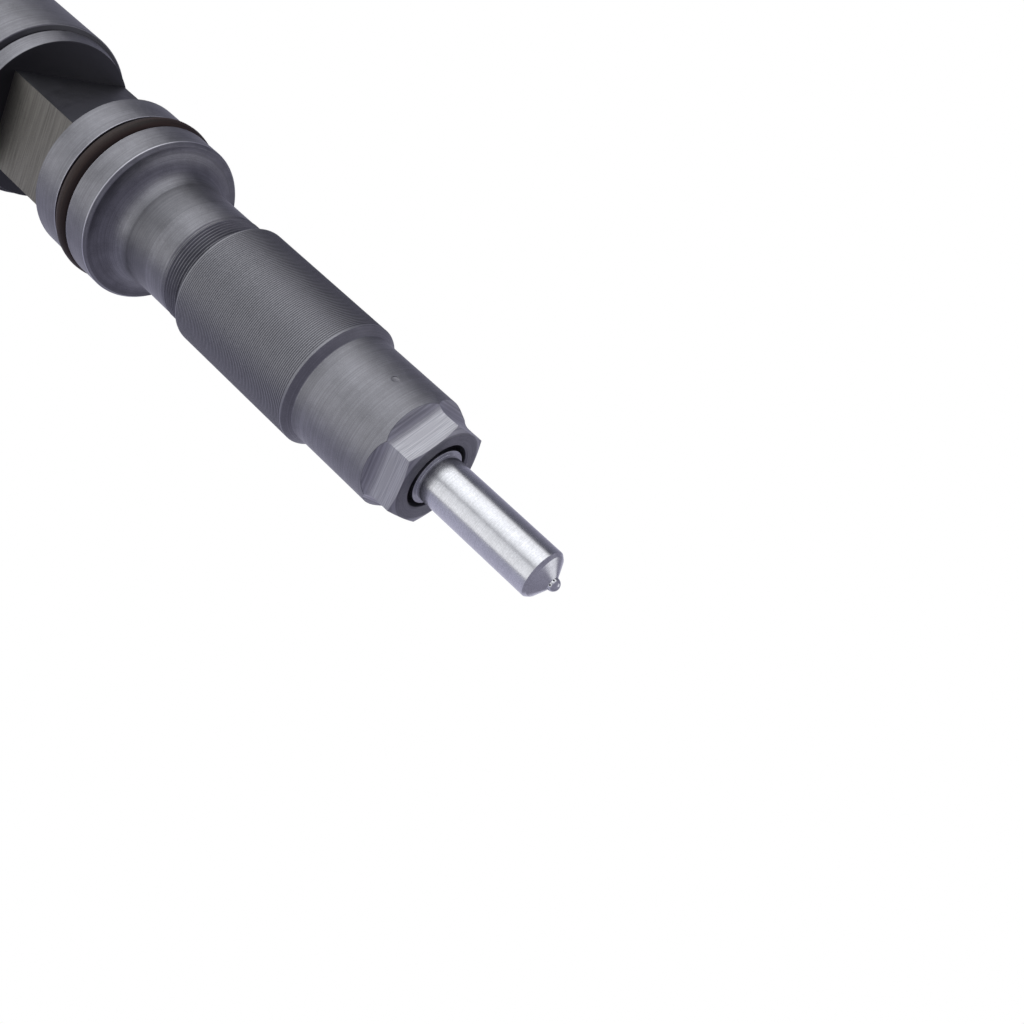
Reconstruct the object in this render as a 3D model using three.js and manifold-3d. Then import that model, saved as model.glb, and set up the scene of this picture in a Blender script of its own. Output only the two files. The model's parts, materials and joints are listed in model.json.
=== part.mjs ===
// Common-rail diesel fuel injector, as an assembly of its separate pieces.
// Units are millimetres. Heights in this file are measured from the nozzle tip, up the axis.
// The finished group is shifted so that the origin lies on the axis, in the plane of the nozzle
// nut's front face, where the injector sits in the cylinder head. +Z points to the terminals,
// the clamp flats face +X, -X and -Y, and the high-pressure inlet faces +Y.
import * as THREE from "three";
import { mergeVertices } from "three/addons/utils/BufferGeometryUtils.js";
import Module from "manifold-3d";

const wasm = await Module();
wasm.setup();

// ---- driving dimensions -------------------------------------------------------------------

const FACETS = 24; // round an outer piece
const FINE = 16; // round an inner piece
const HOLE = 8; // round a drilled hole
const RUN = 0.05; // radial running clearance of a guided piece
const FIT = 0.1; // radial gap between pieces on one axis

const SEAT = 21.6; // nozzle nut's front face
const SHANK_R = 3.5; // nozzle shank
const SHANK_STEP_R = 4.15; // thicker part of the shank, inside the nut
const NOZZLE_R = 7.1; // nozzle collar
const NOZZLE_TOP = 43.0;
const SAC_R = 0.5;
const TIP_BALL_R = 0.93;
const SPRAY_HOLES = 8;
const SPRAY_HOLE_R = 0.13;
const SPRAY_TILT = 15; // degrees below square to the axis
const GUIDE_R = 2.05; // needle guide bore
const NEEDLE_STEM_R = 1.75;

const NUT_BORE_R = 4.9;
const NUT_FACE_R = 6.6; // outer edge of the nut's flat front face
const NUT_R = 8.5; // plain part of the nut
const NUT_STEP = 40.1; // where the nut steps up
const NUT_BIG_R = 9.58; // ring-turned part of the nut
const NUT_TOP = 64.04;
const NUT_HEX = 13.7; // across flats
const NUT_HEX_TURN = 24.3; // degrees, the first flat's direction
const NUT_FLAT_END = 24.4; // where each flat starts to curve out
const NUT_FLAT_RISE = 2.3; // height of that curve at the middle of a flat

const THREAD_R = 8.58; // body thread under the nozzle nut
const NECK_R = 8.51;
const NECK_FILLET = 3.49;
const COLLAR_FRONT = 80.46;
const COLLAR_R = 12.72;
const GROOVE_LOW = 85.0;
const GROOVE_HIGH = 87.9;
const GROOVE_R = 10.5;
const O_RING_WIRE = 1.25;
const O_RING_R = 11.89; // to the middle of its section
const LAND_R = 12.62;
const COLLAR_TOP = 92.7;
const SIDE_FLAT = 7.1; // axis to the +X and -X clamp flats
const FRONT_FLAT = 8.6; // axis to the -Y flat
const SHOULDER = 109.1; // end of the flats
const SHOULDER_R = 12.82;
const HEAD_R = 14.06; // large upper cylinder
const HEAD_EDGE = 111.9;
const HEAD_TOP = 138.1;
const BODY_TOP = 146.0;

const SPRING_CHAMBER_R = 3.2;
const SPRING_CHAMBER_TOP = 66.0;
const ROD_BORE_R = 2.3;
const ROD_R = 1.85;
const HIGH_PRESSURE = { y: 5.3, r: 0.8, top: 118.0 };
const RETURN = { radius: 6.8, angle: 135, r: 0.8, low: 71.6, outlet: 72.6 };
const INLET = { z: 72.8, mouth: 3.7, r: 3.1, floor: 5.7, end: 4.3 };
const DOWEL = { x: 5.4, r: 0.6, hole: 0.75, low: 40.4, high: 45.8 };

const VALVE_POCKET_R = 5.0;
const NUT_POCKET_R = 9.2;
const NUT_POCKET = 123.7;
const GUIDE_POCKET_R = 10.8;
const GUIDE_POCKET = 132.6;
const SEAL_POCKET_R = 11.5;
const SEAL_POCKET = 142.9;

const BOLT_R = 1.4;
const PLATE_LOW = 137.0;
const CORE_FACE = 138.9;
const CORE_TOP = 150.4;
const TERMINAL_X = 6.2;
const STUD_R = 1.95;
const STUD_TOP = 175.0;
const BOSS_TOP = 160.0;
const TERMINAL_HEX = 7.0; // across flats
const HEAD_HEX = 27.0; // solenoid nut, across flats

// ---- materials ----------------------------------------------------------------------------

const steel = (name, color, roughness) => {
  const material = new THREE.MeshStandardMaterial({ color, roughness, metalness: 1.0 });
  material.name = name;
  return material;
};
const dull = (name, color, roughness) => {
  const material = new THREE.MeshStandardMaterial({ color, roughness, metalness: 0.0 });
  material.name = name;
  return material;
};
const FINISH = {
  ground: () => steel("ground_steel", 0xb8bac0, 0.22),
  nut: () => steel("nut_steel", 0x6b6c73, 0.42),
  body: () => steel("body_steel", 0x5a5a62, 0.45),
  hardened: () => steel("hardened_steel", 0x9a9ca3, 0.25),
  spring: () => steel("spring_steel", 0x74767c, 0.35),
  zinc: () => steel("zinc_plate", 0xa4a7ac, 0.3),
  brass: () => steel("brass", 0xc3a24f, 0.3),
  copper: () => steel("copper_wire", 0xb8683a, 0.35),
  iron: () => steel("magnet_iron", 0x4c4d52, 0.55),
  rubber: () => dull("seal_rubber", 0x2a1a16, 0.5),
  seal: () => dull("seal_plastic", 0xcbbd9a, 0.5),
  plastic: () => dull("black_plastic", 0x1b1c1f, 0.45),
  insulator: () => dull("insulator", 0x6a3f22, 0.5),
};

// ---- shape helpers ------------------------------------------------------------------------

// A closed geometry becomes a solid that can be joined and cut.
function solid(geometry) {
  geometry.deleteAttribute("normal");
  geometry.deleteAttribute("uv");
  const merged = mergeVertices(geometry, 1e-4);
  const position = merged.getAttribute("position");
  const corners = [];
  let volume = 0;
  const [a, b, c] = [new THREE.Vector3(), new THREE.Vector3(), new THREE.Vector3()];
  for (let i = 0; i < merged.index.count; i += 3) {
    const face = [0, 1, 2].map((k) => merged.index.getX(i + k));
    if (new Set(face).size < 3) continue;
    a.fromBufferAttribute(position, face[0]);
    b.fromBufferAttribute(position, face[1]);
    c.fromBufferAttribute(position, face[2]);
    volume += a.dot(b.cross(c));
    corners.push(face);
  }
  const ordered = corners.map(([i, j, k]) => (volume < 0 ? [i, k, j] : [i, j, k]));
  const mesh = new wasm.Mesh({
    numProp: 3,
    vertProperties: new Float32Array(position.array),
    triVerts: new Uint32Array(ordered.flat()),
  });
  mesh.merge();
  return new wasm.Manifold(mesh);
}

// A profile of [radius, height] points, from axis to axis, turned about Z.
function turned(profile, facets = FACETS) {
  const outline = profile.map(([r, z]) => new THREE.Vector2(r, z));
  return solid(new THREE.LatheGeometry(outline, facets).rotateX(Math.PI / 2));
}

// The same for a profile that closes on itself clear of the axis.
function ring(profile, facets = FACETS) {
  return turned([...profile, profile[0]], facets);
}

function sleeve(inner, outer, low, high, facets = FACETS) {
  return ring([[inner, low], [outer, low], [outer, high], [inner, high]], facets);
}

function arc(r, z, radius, from, to, steps) {
  return Array.from({ length: steps + 1 }, (_, i) => {
    const angle = THREE.MathUtils.degToRad(from + ((to - from) * i) / steps);
    return [r + radius * Math.cos(angle), z + radius * Math.sin(angle)];
  });
}

function rod(r, low, high, x = 0, y = 0, facets = HOLE) {
  const geometry = new THREE.CylinderGeometry(r, r, high - low, facets);
  return solid(geometry.rotateX(Math.PI / 2).translate(x, y, (low + high) / 2));
}

// A round bar between two points.
function bar(r, start, end, facets = HOLE) {
  const from = new THREE.Vector3(...start);
  const along = new THREE.Vector3(...end).sub(from);
  const geometry = new THREE.CylinderGeometry(r, r, along.length(), facets);
  geometry.translate(0, along.length() / 2, 0);
  const turn = new THREE.Quaternion();
  turn.setFromUnitVectors(new THREE.Vector3(0, 1, 0), along.clone().normalize());
  return solid(geometry.applyQuaternion(turn).translate(from.x, from.y, from.z));
}

function hexagon(acrossFlats, low, high, turn = 0) {
  const corner = acrossFlats / Math.sqrt(3);
  const geometry = new THREE.CylinderGeometry(corner, corner, high - low, 6);
  geometry.rotateX(Math.PI / 2).rotateZ(THREE.MathUtils.degToRad(turn));
  return solid(geometry.translate(0, 0, (low + high) / 2));
}

// A blank outside a hexagon, which cuts a turned piece down to that hexagon.
function outsideHexagon(acrossFlats, low, high, turn = 0) {
  return rod(acrossFlats, low, high, 0, 0, FINE).subtract(hexagon(acrossFlats, low - 1, high + 1, turn));
}

// An outline of [radius, height] points, swept square to the radius at the given angle.
function flatCutter(outline, width, angle) {
  const shape = new THREE.Shape(outline.map(([r, z]) => new THREE.Vector2(r, z)));
  const geometry = new THREE.ExtrudeGeometry(shape, { depth: width, bevelEnabled: false });
  geometry.translate(0, 0, -width / 2).rotateX(Math.PI / 2);
  return solid(geometry.rotateZ(THREE.MathUtils.degToRad(angle)));
}

class Helix extends THREE.Curve {
  constructor(radius, low, high, turns) {
    super();
    Object.assign(this, { radius, low, high, turns });
  }
  getPoint(t, target = new THREE.Vector3()) {
    const angle = 2 * Math.PI * this.turns * t;
    const height = this.low + (this.high - this.low) * t;
    return target.set(this.radius * Math.cos(angle), this.radius * Math.sin(angle), height);
  }
}

function coilSpring(radius, wire, low, high, turns) {
  const section = new THREE.Shape().absarc(0, 0, wire, 0, 2 * Math.PI);
  const extrudePath = new Helix(radius, low + wire, high - wire, turns);
  const steps = Math.round(turns * 10);
  return solid(new THREE.ExtrudeGeometry(section, { steps, curveSegments: 3, extrudePath }));
}

function cutAll(blank, cutters) {
  return cutters.reduce((left, cutter) => left.subtract(cutter), blank);
}

const around = (count, make) => Array.from({ length: count }, (_, i) => make((360 * i) / count));
const polar = (radius, degrees) => {
  const angle = THREE.MathUtils.degToRad(degrees);
  return [radius * Math.cos(angle), radius * Math.sin(angle)];
};

// ---- the assembly -------------------------------------------------------------------------

const injector = new THREE.Group();
injector.position.z = -SEAT;

function add(name, shape, material) {
  const { vertProperties, triVerts } = shape.getMesh();
  const geometry = new THREE.BufferGeometry();
  geometry.setAttribute("position", new THREE.BufferAttribute(new Float32Array(vertProperties), 3));
  geometry.setIndex(new THREE.BufferAttribute(new Uint32Array(triVerts), 1));
  geometry.computeVertexNormals();
  const mesh = new THREE.Mesh(geometry, material);
  mesh.name = name;
  injector.add(mesh);
}

// ---- nozzle -------------------------------------------------------------------------------

// Shank, collar, needle guide, pressure chamber, needle seat and sac, with the spray holes.
function nozzleBody() {
  const blank = turned([
    ...arc(0, TIP_BALL_R, TIP_BALL_R, -90, 5, 5).map(([r, z], i) => [i ? r : 0, z]),
    [3.12, 2.25],
    [SHANK_R, 2.73],
    [SHANK_R, SEAT + 0.05],
    [SHANK_STEP_R, SEAT + 0.05],
    [SHANK_STEP_R, 26.85],
    [NOZZLE_R - 0.2, 26.85],
    [NOZZLE_R, 27.1],
    [NOZZLE_R, NOZZLE_TOP],
    [GUIDE_R, NOZZLE_TOP],
    [GUIDE_R, 31.0],
    [3.2, 30.3],
    [3.2, 28.6],
    [2.3, 27.7],
    [2.3, 5.3],
    [SAC_R, 2.2],
    [SAC_R, 1.0],
    [0, 0.5],
  ]);
  const feed = bar(0.6, [0, HIGH_PRESSURE.y, NOZZLE_TOP + 0.5], [0, 2.8, 29.4]);
  const dowelHoles = [-1, 1].map((side) =>
    rod(DOWEL.hole, DOWEL.low - 0.3, NOZZLE_TOP + 1, side * DOWEL.x),
  );
  const drop = Math.tan(THREE.MathUtils.degToRad(SPRAY_TILT));
  const sprays = around(SPRAY_HOLES, (angle) => {
    const [x, y] = polar(1.4, angle + 10);
    return bar(SPRAY_HOLE_R, [x * 0.15, y * 0.15, 1.05], [x, y, 1.05 - 1.19 * drop], 6);
  });
  return cutAll(blank, [feed, ...dowelHoles, ...sprays]);
}

function nozzleNeedle() {
  return turned([
    [0, 1.9],
    [0.226, 1.9],
    [NEEDLE_STEM_R, 4.525],
    [NEEDLE_STEM_R, 29.0],
    [GUIDE_R - RUN, 30.2],
    [GUIDE_R - RUN, 42.3],
    [1.8, 42.5],
    [1.0, 42.5],
    [1.0, 43.4],
    [0, 43.4],
  ]);
}

// The hexagon's flats curve out into the plain round part.
function nozzleNut() {
  const blank = ring([
    [NUT_BORE_R, SEAT + 0.2],
    [NUT_BORE_R + 0.2, SEAT],
    [NUT_FACE_R, SEAT],
    [NUT_R, SEAT + 0.65],
    [NUT_R, NUT_STEP],
    [NUT_BIG_R, NUT_STEP + 0.97],
    [NUT_BIG_R, NUT_TOP - 0.2],
    [NUT_BIG_R - 0.2, NUT_TOP],
    [THREAD_R + FIT, NUT_TOP],
    [THREAD_R + FIT, 46.9],
    [NOZZLE_R + 0.2, 45.5],
    [NOZZLE_R + 0.2, 26.7],
    [NUT_BORE_R, 26.7],
  ]);
  const flat = NUT_HEX / 2;
  const reach = NUT_R - flat;
  const bend = (NUT_FLAT_RISE ** 2 + reach ** 2) / (2 * reach);
  const swing = THREE.MathUtils.radToDeg(Math.asin(NUT_FLAT_RISE / bend));
  const outline = [
    [flat, SEAT - 1],
    ...arc(flat + bend, NUT_FLAT_END, bend, 180, 180 - swing, 4),
    [12, NUT_FLAT_END + NUT_FLAT_RISE],
    [12, SEAT - 1],
  ];
  return cutAll(blank, around(6, (angle) => flatCutter(outline, 18, angle + NUT_HEX_TURN)));
}

add("nozzle_body", nozzleBody(), FINISH.ground());
add("nozzle_needle", nozzleNeedle(), FINISH.hardened());
add("nozzle_nut", nozzleNut(), FINISH.nut());
[-1, 1].forEach((side, i) => {
  const pin = rod(DOWEL.r, DOWEL.low, DOWEL.high, side * DOWEL.x);
  add(`nozzle_dowel_${i + 1}`, pin, FINISH.hardened());
});

// ---- needle spring train in the body ------------------------------------------------------

add("needle_pressure_pin", turned([
  [0, 43.5],
  [2.6, 43.5],
  [2.6, 44.6],
  [1.3, 44.6],
  [1.3, 68.0],
  [0, 68.0],
], FINE), FINISH.hardened());
add("needle_spring", coilSpring(2.1, 0.45, 44.75, 64.4, 9), FINISH.spring());
add("needle_spring_shim", sleeve(1.5, 2.9, 64.6, 65.8), FINISH.hardened());
add("control_rod", turned([
  [0, 68.1],
  [ROD_R, 68.1],
  [ROD_R, 116.5],
  [2.15, 117.0],
  [2.15, 122.0],
  [1.2, 122.4],
  [0, 122.4],
]), FINISH.hardened());

// ---- injector body ------------------------------------------------------------------------

function injectorBody() {
  const blank = ring([
    [SPRING_CHAMBER_R, NOZZLE_TOP + 0.05],
    [6.7, NOZZLE_TOP + 0.05],
    [7.0, NOZZLE_TOP + 0.35],
    [7.0, 46.2],
    [THREAD_R, 47.5],
    [THREAD_R, 68.3],
    [NECK_R, 68.6],
    ...arc(NECK_R + NECK_FILLET, COLLAR_FRONT - NECK_FILLET, NECK_FILLET, 180, 90, 6),
    [COLLAR_R - 0.42, COLLAR_FRONT],
    [COLLAR_R, COLLAR_FRONT + 0.5],
    [COLLAR_R, GROOVE_LOW],
    [GROOVE_R, GROOVE_LOW],
    [GROOVE_R, GROOVE_HIGH],
    [LAND_R, GROOVE_HIGH],
    [LAND_R, SHOULDER],
    [SHOULDER_R, SHOULDER],
    [SHOULDER_R + 0.48, HEAD_EDGE - 0.5],
    [HEAD_R, HEAD_EDGE],
    [HEAD_R, HEAD_TOP - 0.5],
    [HEAD_R - 0.5, HEAD_TOP],
    [12.2, HEAD_TOP],
    [12.2, 139.2],
    [12.6, 139.6],
    [12.6, BODY_TOP],
    [SEAL_POCKET_R, BODY_TOP],
    [SEAL_POCKET_R, SEAL_POCKET],
    [GUIDE_POCKET_R, SEAL_POCKET],
    [GUIDE_POCKET_R, GUIDE_POCKET],
    [NUT_POCKET_R, GUIDE_POCKET],
    [NUT_POCKET_R, NUT_POCKET],
    [VALVE_POCKET_R, NUT_POCKET],
    [VALVE_POCKET_R, 113.0],
    [ROD_BORE_R, 113.0],
    [ROD_BORE_R, SPRING_CHAMBER_TOP],
    [SPRING_CHAMBER_R, SPRING_CHAMBER_TOP],
  ]);
  const clampFlats = [[SIDE_FLAT, 0], [SIDE_FLAT, 180], [FRONT_FLAT, -90]].map(([flat, angle]) => {
    const outline = [[flat, COLLAR_TOP], [16, COLLAR_TOP], [16, SHOULDER], [flat, SHOULDER]];
    return flatCutter(outline, 32, angle);
  });
  const inlet = turned([
    [0, INLET.end],
    [0.9, INLET.end],
    [INLET.r, INLET.floor],
    [INLET.r, 7.6],
    [INLET.mouth, 8.3],
    [INLET.mouth, 14],
    [0, 14],
  ], FINE).rotate([-90, 0, 0]).translate([0, 0, INLET.z]);
  const [backX, backY] = polar(RETURN.radius, RETURN.angle);
  const [outX, outY] = polar(12, RETURN.angle);
  const dowelHoles = [-1, 1].map((side) =>
    rod(DOWEL.hole, NOZZLE_TOP - 1, DOWEL.high + 0.3, side * DOWEL.x),
  );
  return cutAll(blank, [
    ...clampFlats,
    inlet,
    rod(HIGH_PRESSURE.r, NOZZLE_TOP - 1, HIGH_PRESSURE.top, 0, HIGH_PRESSURE.y),
    rod(RETURN.r, RETURN.low, NUT_POCKET + 1, backX, backY),
    bar(RETURN.r, [backX, backY, RETURN.outlet], [outX, outY, RETURN.outlet]),
    ...dowelHoles,
  ]);
}

add("injector_body", injectorBody(), FINISH.body());
const oRing = (radius, z, wire) => turned(arc(radius, z, wire, 0, 360, 8));
add("body_o_ring", oRing(O_RING_R, (GROOVE_LOW + GROOVE_HIGH) / 2, O_RING_WIRE), FINISH.rubber());

// ---- control valve ------------------------------------------------------------------------

// Stem with the rod's guide, control chamber and throttles, below a flange with the ball seat.
function valveBody() {
  const blank = ring([
    [2.2, 115.3],
    [4.3, 115.3],
    [4.3, 124.0],
    [7.6, 124.0],
    [7.6, 127.4],
    [3.2, 127.4],
    [3.2, 128.0],
    [1.0, 128.0],
    [0.35, 127.4],
    [0.35, 123.9],
    [2.2, 123.6],
  ]);
  const [x, y] = polar(RETURN.radius, RETURN.angle);
  return cutAll(blank, [bar(0.25, [0, 1.5, 123.0], [0, 5, 123.0], 6), rod(1.1, 123, 128, x, y)]);
}

function valveClampNut() {
  const blank = sleeve(4.8, 8.9, 127.6, 132.2);
  const slot = [[4, 130.8], [10, 130.8], [10, 133], [4, 133]];
  return cutAll(blank, around(4, (angle) => flatCutter(slot, 2.4, angle + 45)));
}

// Flanged guide of the armature bolt, with the over-travel spring's recess and return windows.
function armatureGuide() {
  const blank = ring([
    [BOLT_R + RUN, 130.6],
    [3.6, 130.6],
    [3.6, 132.8],
    [10.6, 132.8],
    [10.6, 136.4],
    [4.6, 136.4],
    [4.6, 133.6],
    [2.3, 133.6],
    [2.3, 135.9],
    [BOLT_R + RUN, 135.9],
  ]);
  return cutAll(blank, around(4, (angle) => rod(1.2, 132, 137, ...polar(7.2, angle + 45))));
}

function armaturePlate() {
  const blank = ring([
    [BOLT_R + RUN, PLATE_LOW],
    [8.2, PLATE_LOW],
    [8.2, PLATE_LOW + 1.5],
    [2.8, PLATE_LOW + 1.5],
    [2.8, PLATE_LOW + 2.0],
    [BOLT_R + RUN, PLATE_LOW + 2.0],
  ]);
  return cutAll(blank, around(6, (angle) => rod(0.9, PLATE_LOW - 1, PLATE_LOW + 3, ...polar(5.3, angle))));
}

function armatureClip() {
  const blank = sleeve(BOLT_R + RUN, 2.5, 139.15, 139.7);
  return blank.subtract(flatCutter([[0.2, 139], [3, 139], [3, 140], [0.2, 140]], 1.6, 0));
}

add("valve_body", valveBody(), FINISH.hardened());
add("valve_body_seal_ring", sleeve(2.6, 4.7, 113.2, 115.0), FINISH.seal());
add("valve_clamp_nut", valveClampNut(), FINISH.nut());
add("valve_ball", solid(new THREE.SphereGeometry(0.67, 16, 10).translate(0, 0, 128.07)), FINISH.hardened());
add("ball_holder", turned([
  [0, 129.0],
  [0.78, 128.55],
  [0.78, 128.3],
  [1.5, 128.3],
  [1.5, 129.85],
  [0, 129.85],
], FINE), FINISH.hardened());
add("armature_guide", armatureGuide(), FINISH.hardened());
add("armature_bolt", turned([
  [0, 129.9],
  [BOLT_R, 129.9],
  [BOLT_R, 139.9],
  [2.2, 139.9],
  [2.2, 141.1],
  [1.2, 141.1],
  [1.2, 142.0],
  [0, 142.0],
]), FINISH.hardened());
add("armature_plate", armaturePlate(), FINISH.iron());
add("armature_clip", armatureClip(), FINISH.spring());
add("overtravel_spring", coilSpring(3.4, 0.28, 133.65, 136.95, 3), FINISH.spring());
add("lift_shim", sleeve(9.5, 10.5, 136.6, 139.1), FINISH.hardened());

// ---- solenoid -----------------------------------------------------------------------------

// Pot core with a ring groove for the coil and a middle hole for the valve spring.
function magnetCore() {
  const blank = ring([
    [3.1, CORE_FACE],
    [4.7, CORE_FACE],
    [4.7, 146.6],
    [7.9, 146.6],
    [7.9, CORE_FACE],
    [9.3, CORE_FACE],
    [9.3, CORE_TOP],
    [1.6, CORE_TOP],
    [1.6, 149.0],
    [3.1, 149.0],
  ]);
  return cutAll(blank, [-1, 1].map((side) => rod(0.95, 146, 151, side * TERMINAL_X)));
}

function coilBobbin() {
  const spool = ring([
    [4.9, 139.4],
    [7.7, 139.4],
    [7.7, 140.1],
    [5.6, 140.1],
    [5.6, 145.7],
    [7.7, 145.7],
    [7.7, 146.4],
    [4.9, 146.4],
  ]);
  const legs = [-1, 1].map((side) => rod(0.65, 146.0, 150.8, side * TERMINAL_X));
  return legs.reduce((whole, leg) => whole.add(leg), spool);
}

// Plastic cap with a boss round each terminal stud and a groove for its seal.
function magnetCover() {
  const cap = turned([
    [0, 150.9],
    [10.2, 150.9],
    [10.2, 151.6],
    [9.0, 151.6],
    [9.0, 153.2],
    [10.2, 153.2],
    [10.2, 153.75],
    [11.1, 153.75],
    [11.1, 156.6],
    [10.2, 157.6],
    [0, 157.6],
  ]);
  const bosses = [-1, 1].map((side) => rod(3.3, 157.0, BOSS_TOP, side * TERMINAL_X, 0, FINE));
  const holes = [-1, 1].flatMap((side) => [
    rod(STUD_R + 0.15, 150, BOSS_TOP + 1, side * TERMINAL_X, 0, FINE),
    rod(3.0, 150, 152.4, side * TERMINAL_X, 0, FINE),
  ]);
  return cutAll(bosses.reduce((whole, boss) => whole.add(boss), cap), holes);
}

// Round skirt below a hexagon, threaded on to the body, with a lip over the sleeve's flange.
function solenoidNut() {
  const blank = ring([
    [12.75, 138.4],
    [14.0, 138.4],
    [14.3, 138.7],
    [14.3, 142.5],
    [HEAD_HEX / Math.sqrt(3), 143.3],
    [HEAD_HEX / Math.sqrt(3), 153.6],
    [13.8, 154.6],
    [11.4, 154.6],
    [11.4, 148.4],
    [12.75, 148.4],
  ]);
  return blank.subtract(outsideHexagon(HEAD_HEX, 142.5, 156, 30));
}

add("magnet_core", magnetCore(), FINISH.iron());
add("coil_bobbin", coilBobbin(), FINISH.plastic());
add("coil_winding", sleeve(5.7, 7.5, 140.2, 145.6), FINISH.copper());
add("valve_spring", coilSpring(1.95, 0.4, 141.25, 148.0, 5), FINISH.spring());
add("valve_spring_shim", sleeve(1.0, 2.8, 148.15, 148.85), FINISH.hardened());
add("magnet_sleeve", ring([
  [9.45, 139.3],
  [9.95, 139.3],
  [9.95, 146.2],
  [12.4, 146.2],
  [12.4, 148.2],
  [11.2, 148.2],
  [11.2, 153.5],
  [10.4, 153.5],
  [10.4, 150.7],
  [9.45, 150.7],
]), FINISH.zinc());
add("magnet_o_ring", oRing(10.73, 144.5, 0.62), FINISH.rubber());
add("magnet_cover", magnetCover(), FINISH.plastic());
add("cover_seal_ring", oRing(9.72, 152.4, 0.58), FINISH.rubber());
add("solenoid_nut", solenoidNut(), FINISH.zinc());

// ---- terminals ----------------------------------------------------------------------------

// One terminal's piece, made on the axis and moved out to its place.
const placed = (shape, side) => shape.translate([side * TERMINAL_X, 0, 0]);

[-1, 1].forEach((side, i) => {
  const stud = turned([
    [0, 151.1],
    [2.8, 151.1],
    [2.8, 152.2],
    [STUD_R, 152.2],
    [STUD_R, STUD_TOP - 0.5],
    [STUD_R - 0.5, STUD_TOP],
    [0, STUD_TOP],
  ], FINE);
  const nut = hexagon(TERMINAL_HEX, 163.3, 166.5).subtract(rod(STUD_R + 0.15, 163, 167, 0, 0, FINE));
  add(`terminal_stud_${i + 1}`, placed(stud, side), FINISH.brass());
  const bush = sleeve(2.1, 3.1, 160.3, 162.2, FINE);
  add(`terminal_insulator_${i + 1}`, placed(bush, side), FINISH.insulator());
  add(`terminal_washer_${i + 1}`, placed(sleeve(2.1, 3.9, 162.4, 163.1, FINE), side), FINISH.zinc());
  add(`terminal_nut_${i + 1}`, placed(nut, side), FINISH.zinc());
});

export default injector;
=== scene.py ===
import json
import math

import bmesh
import bpy
from mathutils import Matrix, Vector


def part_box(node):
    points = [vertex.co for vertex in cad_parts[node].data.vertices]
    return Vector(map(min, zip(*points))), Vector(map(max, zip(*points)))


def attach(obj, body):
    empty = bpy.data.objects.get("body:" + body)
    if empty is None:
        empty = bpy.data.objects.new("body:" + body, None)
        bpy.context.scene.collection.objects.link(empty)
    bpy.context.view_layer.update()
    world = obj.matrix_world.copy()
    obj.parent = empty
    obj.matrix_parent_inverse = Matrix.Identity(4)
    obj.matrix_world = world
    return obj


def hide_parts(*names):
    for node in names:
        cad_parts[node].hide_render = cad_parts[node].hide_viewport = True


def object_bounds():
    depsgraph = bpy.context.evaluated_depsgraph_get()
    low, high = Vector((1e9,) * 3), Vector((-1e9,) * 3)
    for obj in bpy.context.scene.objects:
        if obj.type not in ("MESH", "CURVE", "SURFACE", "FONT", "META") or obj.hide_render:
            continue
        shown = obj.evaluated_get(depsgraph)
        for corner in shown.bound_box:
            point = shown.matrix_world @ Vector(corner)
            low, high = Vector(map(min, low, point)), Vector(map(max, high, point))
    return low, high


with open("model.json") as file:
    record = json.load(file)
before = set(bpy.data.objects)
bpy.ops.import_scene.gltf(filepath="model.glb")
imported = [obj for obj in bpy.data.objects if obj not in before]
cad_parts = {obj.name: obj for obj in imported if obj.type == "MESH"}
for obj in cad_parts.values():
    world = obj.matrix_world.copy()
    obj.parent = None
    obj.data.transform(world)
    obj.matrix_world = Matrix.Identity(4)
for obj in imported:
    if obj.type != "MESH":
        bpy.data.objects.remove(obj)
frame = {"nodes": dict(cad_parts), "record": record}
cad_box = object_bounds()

# Sizes are millimetres, and heights are millimetres from the nozzle tip. Both become metres here.
MM = 0.001
TIP = Vector((0.0, 0.0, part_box("nozzle_body")[0][2]))

FINE_STEPS = 192  # round the large pieces
SMALL_STEPS = 96  # round the small ones


# ---- meshes -----------------------------------------------------------------------------------

def place(x, y, z):
    return TIP + Vector((x, y, z)) * MM


def arc(r, z, radius, start, end, steps):
    """Points of a profile along a circle, with angles in degrees from the outward direction."""
    angles = [math.radians(start + (end - start) * i / steps) for i in range(steps + 1)]
    return [(r + radius * math.cos(a), z + radius * math.sin(a)) for a in angles]


def rounded(profile, radius=0.12, steps=3):
    """The profile with each real corner eased, and a holding row on either side of it."""
    closed = profile[0] == profile[-1]
    points = [Vector(p) for p in (profile[:-1] if closed else profile)]
    result = []
    for i, here in enumerate(points):
        before = points[i - 1] if closed or i else None
        after = points[(i + 1) % len(points)] if closed or i + 1 < len(points) else None
        if before is None or after is None:
            result.append(here)
            continue
        back, on = before - here, after - here
        turn = math.pi - back.angle(on)
        cut = min(radius, 0.3 * back.length, 0.3 * on.length)
        if turn < math.radians(16) or cut < 0.004:
            result.append(here)
            continue
        back.normalize()
        on.normalize()
        start, end = here + back * cut, here + on * cut
        result.append(here + back * cut * 1.5)
        for k in range(steps + 1):
            t = k / steps
            result.append(start * (1 - t) ** 2 + here * 2 * t * (1 - t) + end * t ** 2)
        result.append(here + on * cut * 1.5)
    if closed:
        result.append(result[0])
    return [tuple(p) for p in result]


def thread(low, high, pitch, crest, root):
    """A profile's rows along a thread, from low to high."""
    rows = []
    for i in range(int((high - low) / pitch)):
        z = low + i * pitch
        rows += [(root, z), (root, z + 0.12 * pitch), (crest, z + 0.5 * pitch), (crest, z + 0.62 * pitch)]
    return rows


def new_object(name, mesh):
    piece = bpy.data.objects.new(name, mesh)
    bpy.context.scene.collection.objects.link(piece)
    return piece


def smooth(piece, angle=32):
    for polygon in piece.data.polygons:
        polygon.use_smooth = True
    piece.data.set_sharp_from_angle(angle=math.radians(angle))


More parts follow.
